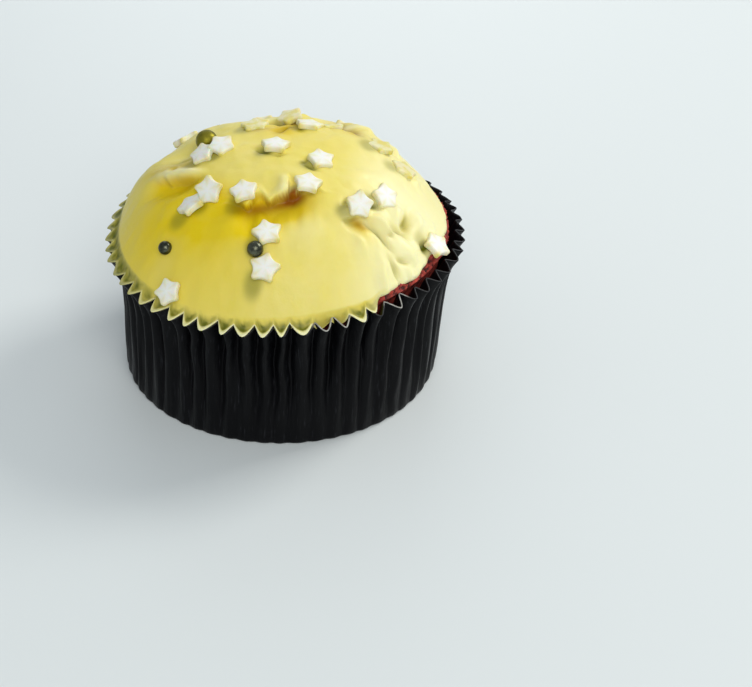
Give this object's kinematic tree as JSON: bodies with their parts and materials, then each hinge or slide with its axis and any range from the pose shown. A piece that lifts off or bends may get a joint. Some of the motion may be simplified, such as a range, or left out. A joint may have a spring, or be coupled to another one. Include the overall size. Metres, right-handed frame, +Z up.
{
  "type": "cupcake",
  "caption": "Iced cupcake in a dark pleated paper case, with a domed, folded layer of icing, sugar stars and sugar pearls.",
  "frame": {"origin": "on the resting plane, under the centre of the case's rim", "axes": "+Z up out of the case, -Y towards the side the picture shows, +X to that side's right"},
  "size_m": [0.0708, 0.0692, 0.0496],
  "materials": {
    "paper_case": "satin dyed paper, folded in pleats",
    "cake": "matt crumb",
    "icing": "soft gloss"
  },
  "bodies": {
    "root": {"paper_case": "paper_case", "cake": "cake", "icing": "icing"}
  },
  "joints": []
}
